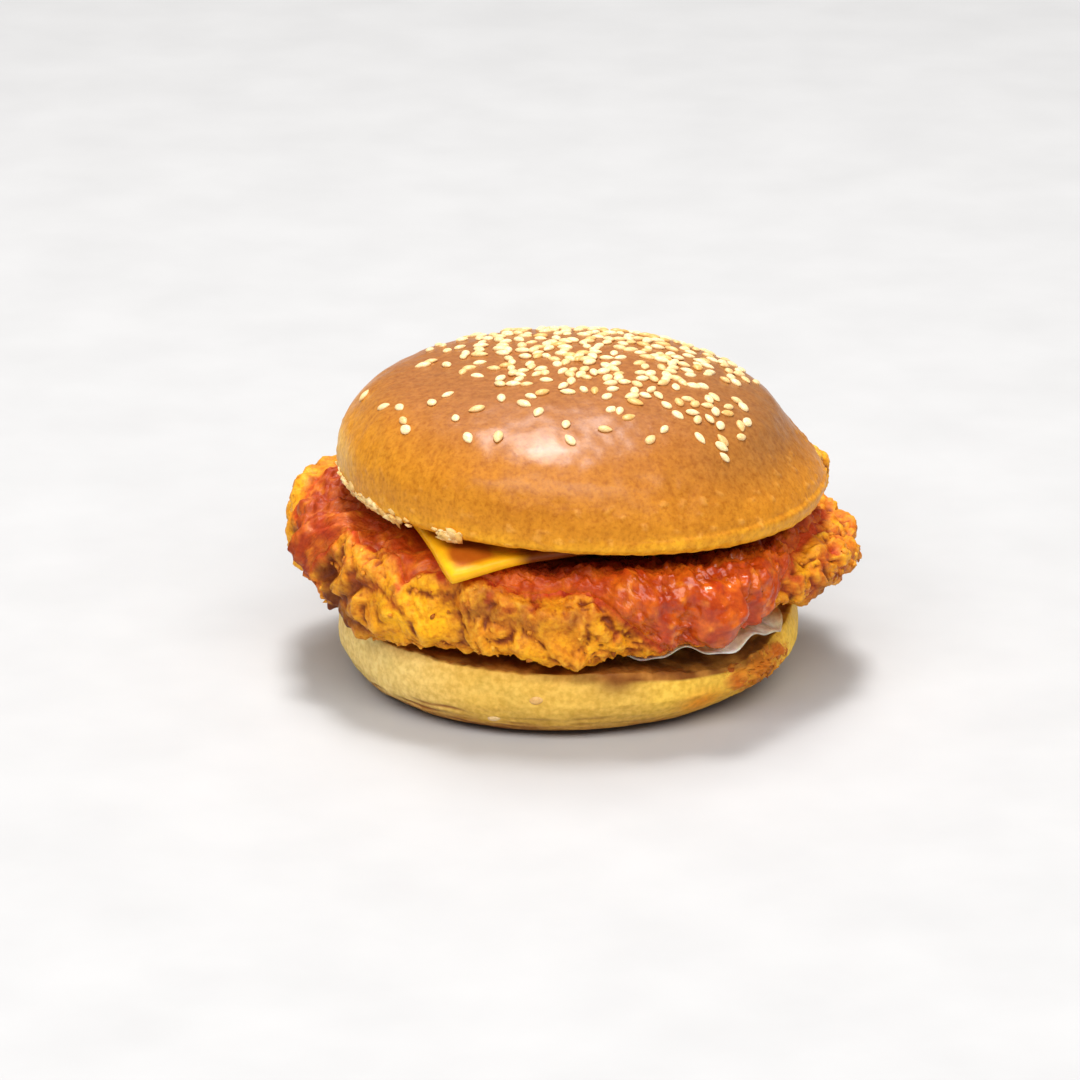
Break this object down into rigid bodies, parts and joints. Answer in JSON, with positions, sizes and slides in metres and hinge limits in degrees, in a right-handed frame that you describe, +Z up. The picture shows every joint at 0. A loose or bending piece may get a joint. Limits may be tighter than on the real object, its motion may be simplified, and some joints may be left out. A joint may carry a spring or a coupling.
{
  "type": "chicken burger",
  "caption": "Crispy fried chicken burger in a seeded bun, with red sauce, a cheese slice and a pale leaf.",
  "frame": {"origin": "middle of the burger's outer box in plan, at the flat underside of the bottom bun", "axes": "+Z up through the stack; +X to the right of the side that shows the cheese corner; that side faces -Y"},
  "size_m": [0.1293, 0.1097, 0.0732],
  "materials": {
    "heel": "soft pale yellow bread, browned at its foot",
    "leaf": "thin pale leaf, slightly translucent",
    "fillet": "craggy golden fried breading",
    "sauce": "glossy red-orange sauce",
    "cheese": "smooth yellow-orange cheese slice",
    "crown": "glazed golden-brown brioche crust with cream sesame seeds"
  },
  "bodies": {
    "root": {"heel": "heel", "leaf": "leaf", "fillet": "fillet", "sauce": "sauce", "cheese": "cheese", "crown": "crown"}
  },
  "joints": []
}
